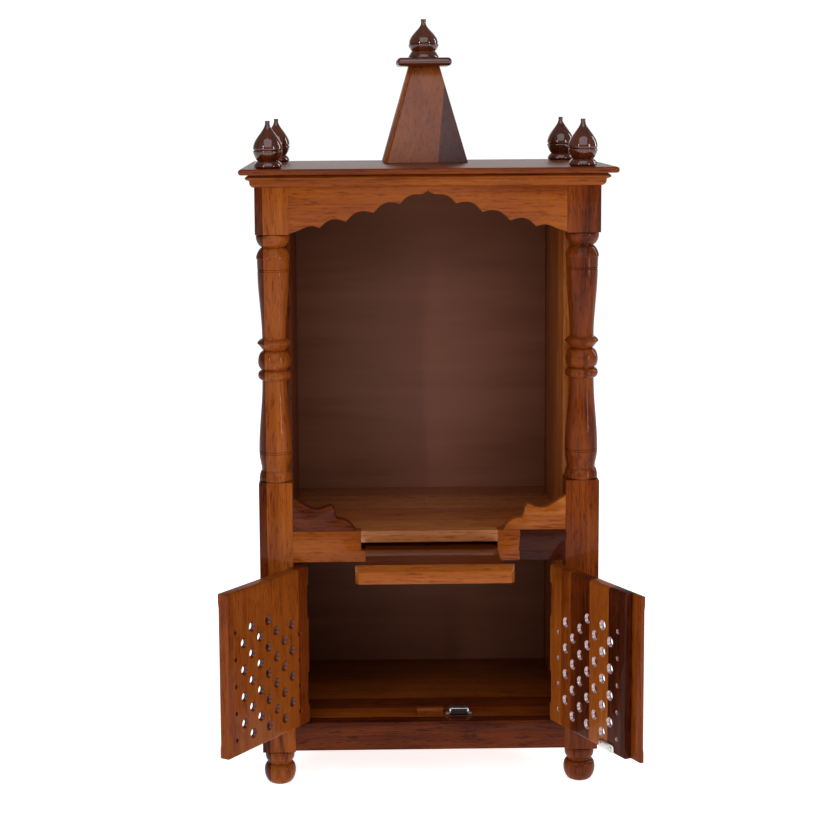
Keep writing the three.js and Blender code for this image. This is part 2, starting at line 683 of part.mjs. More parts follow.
placeDoor({
  side: -1, sideName: "left", recess: LEFT_DOOR_RECESS, angle: LEFT_DOOR_ANGLE, hasLip: false,
  material: woodOrange(),
});
const rightDoor = placeDoor({
  side: 1, sideName: "right", recess: RIGHT_DOOR_RECESS, angle: RIGHT_DOOR_ANGLE, hasLip: true,
  material: woodBrown(),
});

// The catch's steel plate, on the inner face at the right door's foot.
const strikeX = -(POST_INNER - PIN_FROM_POST - CATCH_CENTRE);
const strikeY = [PIN_AHEAD + DOOR_THICKNESS + GAP, PIN_AHEAD + DOOR_THICKNESS + GAP + 1.2];
place(rightDoor, "strike_plate", box([strikeX - 16, strikeX + 16], strikeY, [DOOR_BOTTOM + 0.5, DOOR_BOTTOM + 11]), steel());

// ---- The part's own frame: the origin is at the middle of the base, everything counted ----------

const bounds = new THREE.Box3().setFromObject(cabinet, true);
const middle = bounds.getCenter(new THREE.Vector3());
cabinet.position.set(-middle.x, -middle.y, -bounds.min.z);

const part = new THREE.Group();
part.add(cabinet);

export default part;
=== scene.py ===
"""A household altar cabinet in lacquered hardwood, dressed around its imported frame.

Lengths are millimetres in the part's own frame and become metres as each mesh is finished.
Heights are over the soles of the feet; X and Y places come from the frame's nodes.
"""

import json
import math

import bmesh
import bpy
from mathutils import Matrix, Vector


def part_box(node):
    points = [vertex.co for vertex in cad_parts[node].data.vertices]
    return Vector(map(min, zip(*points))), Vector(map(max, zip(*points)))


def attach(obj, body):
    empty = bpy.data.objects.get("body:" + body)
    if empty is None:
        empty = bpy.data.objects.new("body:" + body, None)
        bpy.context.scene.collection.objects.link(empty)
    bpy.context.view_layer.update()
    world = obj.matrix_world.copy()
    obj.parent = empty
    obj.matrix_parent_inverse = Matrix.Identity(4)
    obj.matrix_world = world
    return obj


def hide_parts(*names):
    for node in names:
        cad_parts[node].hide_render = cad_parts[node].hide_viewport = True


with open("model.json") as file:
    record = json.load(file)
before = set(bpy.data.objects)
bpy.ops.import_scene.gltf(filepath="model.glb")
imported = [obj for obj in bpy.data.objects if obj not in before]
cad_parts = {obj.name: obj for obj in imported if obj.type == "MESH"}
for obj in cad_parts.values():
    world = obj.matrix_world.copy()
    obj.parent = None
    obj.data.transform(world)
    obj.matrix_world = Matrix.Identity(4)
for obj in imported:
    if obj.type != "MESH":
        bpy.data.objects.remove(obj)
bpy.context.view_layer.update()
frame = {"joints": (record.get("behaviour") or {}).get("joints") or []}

MM = 0.001
UP = Vector((0, 0, 1))


# ---- Sizes ---------------------------------------------------------------------------------------

EASE = 0.6  # small round on sawn arrises
JOINT_GAP = 0.3  # left between the frame's solids, closed up here where pieces meet
FOOT_HEIGHT = 43.5
LOWER_BLOCK_TOP = 379.3
UPPER_BLOCK_BOTTOM = 678
SLOT_BOTTOM = 295.6
SLOT_HALF_WIDTH = 82.6
CORNICE_BOTTOM = 734
SPIRE_BOARD = 5
SPIRE_NECK_SHARE = 39.5 / 107.6
BRACKET_LENGTH = 75.8
DOOR_WIDTH = 162.6
DOOR_THICKNESS = 14
DOOR_ANGLES = {"left": 123.1, "right": 115.7}
LIP_WIDTH = 20
LIP_THICKNESS = 5
PIN_AHEAD = 4
PIN_FROM_POST = 2.5
KNUCKLE_RADIUS = 2.2
HINGE_EDGE = -1  # the door's hinge edge, from the pin
HINGE_HEIGHT = 40
HINGE_FROM_END = 43
HOLE_DIAMETER = 10.4
EDGE_HOLE_DIAMETER = 5
EDGE_HOLE_DEPTH = 4
HOLE_PITCH = 16
HOLE_COLUMNS = 9
FIRST_COLUMN = 20
FIELD_PLATE = 4.4  # left of the door's thickness behind the sunk field on its outer face
FIELD_HEIGHT = 156
FIELD_CORNER = 22
TURNING_SIDES = 64


def corners(node):
    """A node's lowest and highest corners, in millimetres."""
    low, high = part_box(node)
    return low / MM, high / MM


FRONT = corners("post_front_left")[0].y
MIDDLE = (corners("post_front_left")[0].x + corners("post_front_right")[1].x) / 2
POST_INNER = corners("post_front_right")[0].x - MIDDLE


# ---- Mesh tools ----------------------------------------------------------------------------------

def board(low, high, ease=EASE, segments=2):
    """A board between two corners, with eased arrises."""
    mesh = bmesh.new()
    size = Matrix.Diagonal((*(Vector(high) - Vector(low)), 1))
    middle = Matrix.Translation((Vector(low) + Vector(high)) / 2)
    bmesh.ops.create_cube(mesh, size=1, matrix=middle @ size)
    bmesh.ops.bevel(
        mesh, geom=mesh.edges[:], offset=ease, segments=segments, profile=0.5, affect="EDGES"
    )
    return mesh


def rounded(outline, sizes):
    """The outline with each corner turned into a short curve of the size given for it."""
    points = []
    for index, corner in enumerate(outline):
        here = Vector(corner)
        before = (Vector(outline[index - 1]) - here).normalized() * sizes[index]
        after = (Vector(outline[(index + 1) % len(outline)]) - here).normalized() * sizes[index]
        for step in range(5):
            along = step / 4
            points.append(tuple(here + before * (1 - along) ** 2 + after * along ** 2))
    return points


def plank_between(bottom, top, ease=EASE):
    """A board with eight given corners: four below and four above, each counter-clockwise."""
    mesh = bmesh.new()
    lower = [mesh.verts.new(corner) for corner in bottom]
    upper = [mesh.verts.new(corner) for corner in top]
    mesh.faces.new(reversed(lower))
    mesh.faces.new(upper)
    for index in range(4):
        after = (index + 1) % 4
        mesh.faces.new((lower[index], lower[after], upper[after], upper[index]))
    bmesh.ops.bevel(mesh, geom=mesh.edges[:], offset=ease, segments=2, profile=0.5, affect="EDGES")
    return mesh


def slab(outline, frame_of, depth, ease=EASE):
    """An outline given thickness; frame_of(u, v, w) places its points, with w from 0 to depth."""
    mesh = bmesh.new()
    near = [mesh.verts.new(frame_of(u, v, 0)) for u, v in outline]
    far = [mesh.verts.new(frame_of(u, v, depth)) for u, v in outline]
    rims = [mesh.faces.new(near), mesh.faces.new(far)]
    for index in range(len(outline)):
        after = (index + 1) % len(outline)
        mesh.faces.new((near[index], near[after], far[after], far[index]))
    bmesh.ops.recalc_face_normals(mesh, faces=mesh.faces[:])
    if ease:
        edges = {edge for face in rims for edge in face.edges}
        bmesh.ops.bevel(
            mesh, geom=list(edges), offset=ease, segments=2, profile=0.5, affect="EDGES",
            clamp_overlap=True,
        )
    return mesh


def loft(rings):
    """A closed body through rings of equal count, each ring counter-clockwise seen from above."""
    mesh = bmesh.new()
    made = [[mesh.verts.new(point) for point in ring] for ring in rings]
    for below, above in zip(made, made[1:]):
        for index in range(len(below)):
            after = (index + 1) % len(below)
            mesh.faces.new((below[index], below[after], above[after], above[index]))
    mesh.faces.new(reversed(made[0]))
    mesh.faces.new(made[-1])
    return mesh


def joined(*meshes):
    whole = bmesh.new()
    for mesh in meshes:
        data = bpy.data.meshes.new("part")
        mesh.to_mesh(data)
        whole.from_mesh(data)
        mesh.free()
        bpy.data.meshes.remove(data)
    return whole


def cut(mesh, cutters):
    """The mesh with the cutters' space taken out of it; cut faces keep the cutters' material."""
    objects = []
    for shape in (mesh, cutters):
        data = bpy.data.meshes.new("cut")
        for _ in range(3):
            data.materials.append(None)
        bmesh.ops.recalc_face_normals(shape, faces=shape.faces[:])
        shape.to_mesh(data)
        shape.free()
        thing = bpy.data.objects.new("cut", data)
        bpy.context.scene.collection.objects.link(thing)
        objects.append(thing)
    body, tool = objects
    modifier = body.modifiers.new("cut", "BOOLEAN")
    modifier.operation = "DIFFERENCE"
    modifier.solver = "EXACT"
    modifier.object = tool
    evaluated = body.evaluated_get(bpy.context.evaluated_depsgraph_get())
    result = bmesh.new()
    result.from_mesh(evaluated.to_mesh())
    evaluated.to_mesh_clear()
    for thing in objects:
        data = thing.data
        bpy.data.objects.remove(thing)
        bpy.data.meshes.remove(data)
    return result


class Turning:
    """The outline of a turned piece, worked from the bottom up, as radius and height."""

    def __init__(self, radius, z):
        self.points = [(radius, z)]

    def line_to(self, radius, z):
        self.points.append((radius, z))
        return self

    def bead_to(self, radius, z, bulge, steps=14):
        """A bead or ball that swells out by bulge on its way to the next radius."""
        from_radius, from_z = self.points[-1]
        for step in range(1, steps + 1):
            turn = math.pi * step / steps
            along = (1 - math.cos(turn)) / 2
            straight = from_radius + (radius - from_radius) * along
            self.line_to(straight + bulge * math.sin(turn), from_z + (z - from_z) * along)
        return self

    def sweep_to(self, radius, z, steps=14, hold=1.0):
        """A smooth curve that leaves and arrives upright; a hold above 1 stays wide for longer."""
        from_radius, from_z = self.points[-1]
        for step in range(1, steps + 1):
            along = step / steps
            held = along ** hold
            eased = held * held * (3 - 2 * held)
            self.line_to(
                from_radius + (radius - from_radius) * eased, from_z + (z - from_z) * along
            )
        return self

    def groove(self, depth=0.7, width=1.1):
        """A line cut round the piece with the point of a tool."""
        radius, z = self.points[-1]
        self.line_to(radius - depth, z + width / 2)
        return self.line_to(radius, z + width)


CORNER_STEP = math.radians(1.1)
RING_ANGLES = sorted(
    [2 * math.pi * index / TURNING_SIDES for index in range(TURNING_SIDES)]
    + [
        math.pi / 4 + quarter * math.pi / 2 + offset * CORNER_STEP
        for quarter in range(4)
        for offset in (-2, -1, 1, 2)
    ]
)


def round_ring(centre, radius, z):
    return [
        Vector((centre.x + radius * math.cos(angle), centre.y + radius * math.sin(angle), z))
        for angle in RING_ANGLES
    ]


def square_ring(centre, half, z, corner=EASE):
    """A square with rounded corners, with its points at the same bearings as a round ring's."""
    ring = []
    inner = half - corner
    for angle in RING_ANGLES:
        across, along = abs(math.cos(angle)), abs(math.sin(angle))
        reach = half / max(across, along)
        if reach * min(across, along) > inner:
            middle = inner * (across + along)
            reach = middle + math.sqrt(middle * middle - 2 * inner * inner + corner * corner)
        ring.append(
            Vector((centre.x + reach * math.cos(angle), centre.y + reach * math.sin(angle), z))
        )
    return ring


def turned(centre, turning):
    return loft([round_ring(centre, radius, z) for radius, z in turning.points])


def block_rings(centre, half, low, high):
    """A square block's rings, with its top and bottom arrises eased."""
    rings = []
    for turn in (0, 30, 60, 90):
        inset = EASE * (1 - math.sin(math.radians(turn)))
        rise = EASE * (1 - math.cos(math.radians(turn)))
        rings.append((half - inset, low + rise))
    for turn in (90, 60, 30, 0):
        inset = EASE * (1 - math.sin(math.radians(turn)))
        rise = EASE * (1 - math.cos(math.radians(turn)))
        rings.append((half - inset, high - rise))
    return [square_ring(centre, size, z) for size, z in rings]


# ---- Materials -----------------------------------------------------------------------------------

class Shader:
    """Short calls for a material's nodes."""

    def __init__(self, name):
        self.material = bpy.data.materials.new(name)
        self.material.use_nodes = True
        self.tree = self.material.node_tree
        self.surface = self.tree.nodes["Principled BSDF"]

    def add(self, kind, inputs=(), **settings):
        node = self.tree.nodes.new(kind)
        for key, value in settings.items():
            setattr(node, key, value)
        for key, value in dict(inputs).items():
            self.put(node.inputs[key], value)
        return node

    def put(self, socket, value):
        if isinstance(value, bpy.types.NodeSocket):
            self.tree.links.new(value, socket)
        else:
            socket.default_value = value

    def sum(self, operation, first, second, third=None):
        inputs = {0: first, 1: second}
        if third is not None:
            inputs[2] = third
        return self.add("ShaderNodeMath", inputs, operation=operation).outputs[0]

    def noise(self, vector, scale, detail=3, roughness=0.55, distortion=0.0):
        """Noise stretched by a scale for each direction, in features a metre."""
        stretched = self.add("ShaderNodeVectorMath", {0: vector, 1: scale}, operation="MULTIPLY")
        node = self.add(
            "ShaderNodeTexNoise",
            {
                "Vector": stretched.outputs[0], "Scale": 1.0, "Detail": detail,
                "Roughness": roughness, "Distortion": distortion,
            },
        )
        return node.outputs["Fac"]

    def ramp(self, value, stops, interpolation="LINEAR"):
        node = self.add("ShaderNodeValToRGB", {0: value})
        ramp = node.color_ramp
        ramp.interpolation = interpolation
        while len(ramp.elements) < len(stops):
            ramp.elements.new(1.0)
        for element, (place, colour) in zip(ramp.elements, stops):
            element.position = place
            if not hasattr(colour, "__len__"):
                colour = (colour, colour, colour)
            element.color = (*colour, 1)
        return node.outputs[0]

    def step(self, value, low, high):
        node = self.add(
            "ShaderNodeMapRange", {"Value": value, "From Min": low, "From Max": high},
            interpolation_type="SMOOTHSTEP",
        )
        return node.outputs[0]


# The hardwood's colours, from black-brown heartwood to pale sapwood.
WOOD_TONES = [
    (0.0, (0.010, 0.0018, 0.0009)),
    (0.22, (0.042, 0.0066, 0.0016)),
    (0.45, (0.125, 0.0225, 0.0028)),
    (0.70, (0.252, 0.0615, 0.0068)),
    (1.0, (0.460, 0.180, 0.055)),
]


def wood(name, tone, figure=0.30, heart=0.25, planks=(), gloss=0.36, polish=1.32, blur=0.06):
    """Lacquered hardwood. tone is its usual place in WOOD_TONES; planks lists, across the board,
    the share of its width at which each glued plank starts and that plank's tone. gloss, polish
    and blur are the lacquer's weight, its refractive index and its roughness."""
    shader = Shader(name)
    grain = shader.add("ShaderNodeAttribute", attribute_name="grain").outputs["Vector"]
    broad = shader.noise(grain, (46, 46, 3.2), detail=4, distortion=0.7)
    fine = shader.noise(grain, (330, 330, 9), detail=3, roughness=0.6)
    pores = shader.noise(grain, (1500, 1500, 42), detail=1)
    flecks = shader.noise(grain, (430, 430, 48), detail=2, roughness=0.7)
    patch = shader.noise(grain, (15, 15, 2.4), detail=2, distortion=1.4)
    cloud = shader.noise(grain, (22, 22, 16), detail=2)

    level = tone
    if planks:
        across = shader.add("ShaderNodeAttribute", attribute_name="across").outputs["Fac"]
        waver = shader.sum("MULTIPLY_ADD", shader.sum("SUBTRACT", broad, 0.5), 0.035, across)
        level = shader.ramp(waver, planks, "CONSTANT")
    value = shader.sum("MULTIPLY_ADD", shader.sum("SUBTRACT", broad, 0.5), figure * 1.5, level)
    value = shader.sum("MULTIPLY_ADD", shader.sum("SUBTRACT", fine, 0.5), figure * 0.8, value)
    value = shader.sum("MULTIPLY_ADD", shader.sum("SUBTRACT", cloud, 0.5), figure * 0.4, value)
    if heart:
        dark = shader.step(patch, 0.60, 0.70)
        value = shader.sum("MULTIPLY_ADD", dark, -heart, value)
    pore = shader.step(pores, 0.60, 0.72)
    value = shader.sum("MULTIPLY_ADD", pore, -0.08, value)
    fleck = shader.step(flecks, 0.52, 0.68)
    value = shader.sum("MULTIPLY_ADD", fleck, -0.15, value)
    colour = shader.ramp(value, WOOD_TONES)
    shader.put(shader.surface.inputs["Base Color"], colour)
    roughness = shader.sum("MULTIPLY_ADD", fine, 0.22, 0.30)
    shader.put(shader.surface.inputs["Roughness"], roughness)
    height = shader.sum("MULTIPLY_ADD", pore, -0.6, shader.sum("SUBTRACT", fine, fleck))
    bump = shader.add("ShaderNodeBump", {"Strength": 0.12, "Distance": 0.0004, "Height": height})
    shader.put(shader.surface.inputs["Normal"], bump.outputs[0])
    shader.surface.inputs["Coat Weight"].default_value = gloss
    shader.surface.inputs["Coat Roughness"].default_value = blur
    shader.surface.inputs["Coat IOR"].default_value = polish
    shader.surface.inputs["Specular IOR Level"].default_value = 0.02
    return shader.material


def stained_ply(name):
    """Dark stained plywood with faint scratches across it, painted darker towards both sides, most
    at the left, and lightest in the middle as painted shade.
    """
    shader = Shader(name)
    grain = shader.add("ShaderNodeAttribute", attribute_name="grain").outputs["Vector"]
    broad = shader.noise(grain, (30, 30, 4), detail=3, distortion=0.5)
    fine = shader.noise(grain, (500, 500, 14), detail=2)
    value = shader.sum("MULTIPLY_ADD", fine, 0.3, broad)
    across = shader.add("ShaderNodeAttribute", attribute_name="across").outputs["Fac"]
    # Painted shade: darkest at the board's left side, a little lighter at its right, lightest in
    # the middle.
    middle = shader.ramp(across, [(0.0, 0.0), (0.5, 0.34), (1.0, 0.10)])
    value = shader.sum("MULTIPLY_ADD", value, 0.4, middle)
    colour = shader.ramp(value, [(0.1, (0.085, 0.026, 0.011)), (0.8, (0.235, 0.088, 0.050))])
    shader.put(shader.surface.inputs["Base Color"], colour)
    shader.put(shader.surface.inputs["Roughness"], shader.sum("MULTIPLY_ADD", fine, 0.2, 0.38))
    bump = shader.add("ShaderNodeBump", {"Strength": 0.2, "Distance": 0.0005, "Height": fine})
    shader.put(shader.surface.inputs["Normal"], bump.outputs[0])
    shader.surface.inputs["Coat Weight"].default_value = 0.12
    shader.surface.inputs["Coat Roughness"].default_value = 0.3
    shader.surface.inputs["Specular IOR Level"].default_value = 0.1
    return shader.material


def painted_highlight_wood(name):
    """Pale pinkish wood for the bores' mouths, with lacquer pooled on it; the pale pink is a
    painted highlight.
    """
    shader = Shader(name)
    grain = shader.add("ShaderNodeAttribute", attribute_name="grain").outputs["Vector"]
    mottle = shader.noise(grain, (420, 420, 260), detail=3)
    # Painted highlight: pale pinkish colour standing in for the light caught in the bores' mouths.
    colour = shader.ramp(mottle, [(0.35, (0.20, 0.095, 0.09)), (0.65, (0.52, 0.33, 0.33))])
    shader.put(shader.surface.inputs["Base Color"], colour)
    shader.put(shader.surface.inputs["Roughness"], shader.sum("MULTIPLY_ADD", mottle, 0.3, 0.2))
    bump = shader.add("ShaderNodeBump", {"Strength": 0.2, "Distance": 0.0004, "Height": mottle})
    shader.put(shader.surface.inputs["Normal"], bump.outputs[0])
    shader.surface.inputs["Coat Weight"].default_value = 1.0
    shader.surface.inputs["Coat Roughness"].default_value = 0.12
    shader.surface.inputs["Coat IOR"].default_value = 2.0
    return shader.material


def metal(name, colour, roughness):
    shader = Shader(name)
    place = shader.add("ShaderNodeTexCoord").outputs["Object"]
    smudge = shader.noise(place, (400, 400, 400), detail=2)
    brushed = shader.noise(place, (2500, 2500, 160), detail=1)
    dull = tuple(part * 0.6 for part in colour)
    tint = shader.ramp(smudge, [(0.35, dull), (0.65, colour)])
    shader.put(shader.surface.inputs["Base Color"], tint)
    spread = shader.sum("MULTIPLY_ADD", brushed, 0.25, roughness)
    shader.put(shader.surface.inputs["Roughness"], spread)
    bump = shader.add("ShaderNodeBump", {"Strength": 0.1, "Distance": 0.0002, "Height": brushed})
    shader.put(shader.surface.inputs["Normal"], bump.outputs[0])
    shader.surface.inputs["Metallic"].default_value = 1.0
    return shader.material


ORANGE = wood("wood_orange", 0.60)
POST_LEFT_WOOD = wood(
    "post_left_wood", 0.62, figure=0.30, heart=0.2, planks=[(0.0, 0.28), (0.23, 0.60)],
)
BROWN = wood("wood_brown", 0.45, figure=0.34, heart=0.18)
DARK = wood("wood_dark", 0.37, figure=0.30, heart=0.10, gloss=0.25)
# The side panels are one wood in a lit and a shaded copy: the right panel's pale tone is painted
# light, the left panel's dark tone painted shade.
PANEL_PAINTED_LIT = wood("panel_painted_lit", 0.74, figure=0.34, heart=0.1)
PANEL_PAINTED_SHADE = wood("panel_painted_shade", 0.36, figure=0.30, heart=0.1)
# The bores' walls are painted darker than the doors as painted shade.
PAINTED_BORE_SHADE = wood("painted_bore_shade", 0.26, figure=0.1, heart=0.0)
# The left door's bore mouths are painted a darker red than the door as painted shade.
PAINTED_MOUTH_SHADE = wood("painted_mouth_shade", 0.40, figure=0.1, heart=0.0, gloss=1.0, polish=1.36)
# The right door's bore mouths are painted pale pinkish as a painted highlight.
PAINTED_MOUTH_HIGHLIGHT = painted_highlight_wood("painted_mouth_highlight")
CROWN_WOOD = wood("crown_wood", 0.46, figure=0.30, heart=0.1, blur=0.3)
BRACKET_DARK = wood("bracket_dark", 0.30, figure=0.22, heart=0.0)
BRACKET_PALE = wood("bracket_pale", 0.70, figure=0.30, heart=0.1)
FINIAL_WOOD = wood("finial_wood", 0.32, figure=0.24, heart=0.1, gloss=1.0, polish=1.58)
TRAY_WOOD = wood("tray_board_wood", 0.38, figure=0.16, heart=0.0, gloss=1.0, polish=1.5)
TRAY_FRONT_WOOD = wood("tray_front_wood", 0.70, figure=0.26, heart=0.0)
PLY = stained_ply("back_ply")
STEEL = metal("steel", (0.30, 0.27, 0.23), 0.30)
CHROME = metal("chrome", (0.75, 0.74, 0.72), 0.12)
BLACK_STEEL = metal("catch_case", (0.06, 0.055, 0.05), 0.35)

SPIRE_FRONT_WOOD = wood(
    "spire_front", 0.42, figure=0.22, heart=0.0, planks=[(0.0, 0.60), (0.645, 0.28)],
    gloss=1.0, polish=1.38, blur=0.3,
)
SHELF_WOOD = wood(
    "shelf_planks", 0.6, figure=0.24, heart=0.1, gloss=1.0, polish=1.6, blur=0.25,
    planks=[(0.0, 0.78), (0.22, 0.68), (0.5, 0.76), (0.8, 0.70)],
)
DOOR_LEFT_WOOD = wood(
    "door_left_planks", 0.6, figure=0.17, heart=0.1, gloss=0.24,
    planks=[(0.0, 0.42), (0.13, 0.62), (0.45, 0.59), (0.78, 0.56)],
)
DOOR_RIGHT_WOOD = wood(
    "door_right_planks", 0.5, figure=0.34, heart=0.2, gloss=0.24,
    planks=[(0.0, 0.66), (0.14, 0.52), (0.26, 0.30), (0.48, 0.68), (0.70, 0.24), (0.895, 0.50)],
)
FLOOR_WOOD = wood(
    "floor_planks", 0.5, figure=0.28, heart=0.1,
    planks=[(0.0, 0.56), (0.14, 0.40), (0.30, 0.64), (0.62, 0.58)],
)
RAIL_WOOD = wood(
    "tray_rail_planks", 0.6, figure=0.25, heart=0.1,
    planks=[(0.0, 0.60), (0.83, 0.16)],
)


# ---- Finishing a piece ---------------------------------------------------------------------------

ALONG = {
    "X": Matrix(((0, 1, 0), (0, 0, 1), (1, 0, 0))),
    "Y": Matrix(((1, 0, 0), (0, 0, 1), (0, 1, 0))),
    "Z": Matrix.Identity(3),
}
SMOOTH_ANGLE = math.radians(32)
pieces_made = []


def piece(name, mesh, body, nodes, material, along="Z", turn=None, across=None):
    """Makes an object of the mesh, with the wood's grain along one axis of its own frame.

    turn takes the part's frame to the piece's own, for pieces that lie askew. across is the axis
    and the two places between which the glued planks are counted, in the piece's own frame.
    """
    data = bpy.data.meshes.new(name)
    mesh.normal_update()
    mesh.to_mesh(data)
    mesh.free()
    own = [vertex.co.copy() for vertex in data.vertices]
    if turn is not None:
        own = [turn @ place for place in own]
    middle = sum(own, Vector()) / len(own)
    offset = Vector((0.37, 0.61, 0.83)) * (len(pieces_made) + 1)
    grain = data.attributes.new("grain", "FLOAT_VECTOR", "POINT")
    for index, place in enumerate(own):
        grain.data[index].vector = ALONG[along] @ (place - middle) * MM + offset
    if across is not None:
        axis, start, end = across
        share = data.attributes.new("across", "FLOAT", "POINT")
        for index, place in enumerate(own):
            share.data[index].value = (place[axis] - start) / (end - start)
    for vertex in data.vertices:
        vertex.co *= MM
    for face in data.polygons:
        face.use_smooth = True
    data.set_sharp_from_angle(angle=SMOOTH_ANGLE)
    for finish in material if isinstance(material, tuple) else (material,):
        data.materials.append(finish)
    thing = bpy.data.objects.new(name, data)
    bpy.context.scene.collection.objects.link(thing)
    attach(thing, body)
    if nodes:
        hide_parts(*nodes)
    pieces_made.append(thing)
    return thing


def plain_board(
    name, node, material, along, body="cabinet", ease=EASE, across=None, grow=(0, 0, 0)
):
    low, high = corners(node)
    mesh = board(low - Vector(grow), high + Vector(grow), ease)
    return piece(name, mesh, body, [node], material, along, across=across)


# ---- Posts ---------------------------------------------------------------------------------------

def foot_turning():
    return (
        Turning(10.4, 0)
        .line_to(11, 0.6)
        .bead_to(14.2, 26, 6.6, 20)
        .line_to(14.2, 28.5)
        .bead_to(15, FOOT_HEIGHT - 1, 3.4)
        .line_to(15, FOOT_HEIGHT)
    )


def column_turning():
    return (
        Turning(19.2, LOWER_BLOCK_TOP)
        .line_to(19.5, LOWER_BLOCK_TOP + 0.6)
        .bead_to(16.9, 392.6, 1.4)
        .sweep_to(19.7, 413.0)
        .groove()
        .line_to(19.8, 415.4)
        .groove()
        .sweep_to(14.9, 501.5, 24)
        .line_to(15.0, 502.6)
        .bead_to(14.8, 514.6, 4.9)
        .line_to(14.7, 515.4)
        .bead_to(12.9, 538, 5.7, 18)
        .line_to(19.3, 546)
        .bead_to(14.6, 552.4, 2.3, 12)
        .line_to(14.3, 553.2)
        .sweep_to(18.8, 633.2, 26)
        .groove()
        .line_to(18.9, 635.2)
        .groove()
        .line_to(19.2, 648)
        .bead_to(13.4, 662, 2.4, 16)
        .line_to(13.3, 662.8)
        .bead_to(18.2, UPPER_BLOCK_BOTTOM - 0.4, 3.6)
        .line_to(18.2, UPPER_BLOCK_BOTTOM)
    )


def post_middle(node):
    low, high = corners(node)
    return (low + high) / 2, (high.x - low.x) / 2, high.z


def front_post(side_name, material):
    node = f"post_front_{side_name}"
    centre, half, top = post_middle(node)
    rings = [round_ring(centre, radius, z) for radius, z in foot_turning().points]
    rings += block_rings(centre, half, FOOT_HEIGHT, LOWER_BLOCK_TOP)
    rings += [round_ring(centre, radius, z) for radius, z in column_turning().points]
    rings += block_rings(centre, half, UPPER_BLOCK_BOTTOM, top)
    piece(
        f"turned_post_{side_name}", loft(rings), "cabinet", [node], material,
        across=(0, centre.x - half, centre.x + half),
    )


def back_post(side_name, material):
    node = f"post_back_{side_name}"
    centre, half, top = post_middle(node)
    rings = [round_ring(centre, radius, z) for radius, z in foot_turning().points]
    rings += block_rings(centre, half, FOOT_HEIGHT, top)
    piece(f"square_post_{side_name}", loft(rings), "cabinet", [node], material)


front_post("left", POST_LEFT_WOOD)
front_post("right", BROWN)
back_post("left", BROWN)
back_post("right", BROWN)


# ---- Panels, shelf and rails ---------------------------------------------------------------------

# The left panel takes the painted shade copy and the right panel the painted light copy.
plain_board(
    "panel_left", "side_panel_left", PANEL_PAINTED_SHADE, "Z", grow=(0, JOINT_GAP, 0),
)
plain_board(
    "panel_right", "side_panel_right", PANEL_PAINTED_LIT, "Z", grow=(0, JOINT_GAP, 0),
)
ply_low, ply_high = corners("back_panel")
plain_board(
    "ply_back", "back_panel", PLY, "X", ease=0.3, grow=(JOINT_GAP, 0, 0),
    across=(0, ply_low.x, ply_high.x),
)
plain_board("rail_bottom", "bottom_rail", DARK, "X", grow=(JOINT_GAP, 0, 0))

floor_low, floor_high = corners("floor_board")
plain_board(
    "cupboard_floor", "floor_board", FLOOR_WOOD, "X",
    across=(1, floor_low.y, floor_high.y), grow=(JOINT_GAP, JOINT_GAP, 0),
)


def upright(u, v, w):
    """Outlines drawn from the front: across, height, and depth behind the cabinet's front."""
    return Vector((MIDDLE + u, FRONT + w, v))


def tray_rail():
    low, high = corners("tray_rail")
    reach = high.x - MIDDLE + JOINT_GAP
    slot = SLOT_HALF_WIDTH
    outline = [
        (-reach, low.z), (reach, low.z), (reach, high.z), (slot, high.z),
        (slot, SLOT_BOTTOM), (-slot, SLOT_BOTTOM), (-slot, high.z), (-reach, high.z),
    ]
    mesh = slab(outline, upright, high.y - low.y, 0.5)
    piece(
        "rail_tray", mesh, "cabinet", ["tray_rail"], RAIL_WOOD, "X",
        across=(0, low.x, high.x),
    )


def shelf():
    low, high = corners("shelf_board")
    rail_back = corners("tray_rail")[1].y - FRONT
    reach, nose, depth = high.x - MIDDLE + JOINT_GAP, SLOT_HALF_WIDTH, high.y - FRONT + JOINT_GAP
    outline = [
        (-nose, 0), (nose, 0), (nose, rail_back), (reach, rail_back),
        (reach, depth), (-reach, depth), (-reach, rail_back), (-nose, rail_back),
    ]

    def level(u, v, w):
        return Vector((MIDDLE + u, FRONT + v, low.z + w))

    mesh = slab(outline, level, high.z - low.z, 0.5)
    piece(
        "niche_shelf", mesh, "cabinet", ["shelf_board"], SHELF_WOOD, "X",
        across=(1, low.y, high.y),
    )


tray_rail()
shelf()


# ---- Scalloped arch under the cornice ------------------------------------------------------------

ARCH_SPRING = 679.4
ARCH_APEX = 729.3
ARCH_SHOULDER = (9, 724.6)
ARCH_CUSPS = [(32.8, 713.7), (64.2, 703.4), (97.2, 693), (128.4, 685.5)]
ARCH_FLARE = (148, 685.4)
SCALLOP_RISE = 6.6


def bow(start, end, rise, steps):
    """Points along a shallow arc, bowed to the left by rise, without its start."""
    across = Vector((start[1] - end[1], end[0] - start[0])).normalized()
    points = []
    for step in range(1, steps + 1):
        along = step / steps
        lift = rise * math.sin(math.pi * along)
        points.append((
            start[0] + (end[0] - start[0]) * along + across.x * lift,
            start[1] + (end[1] - start[1]) * along + across.y * lift,
        ))
    return points


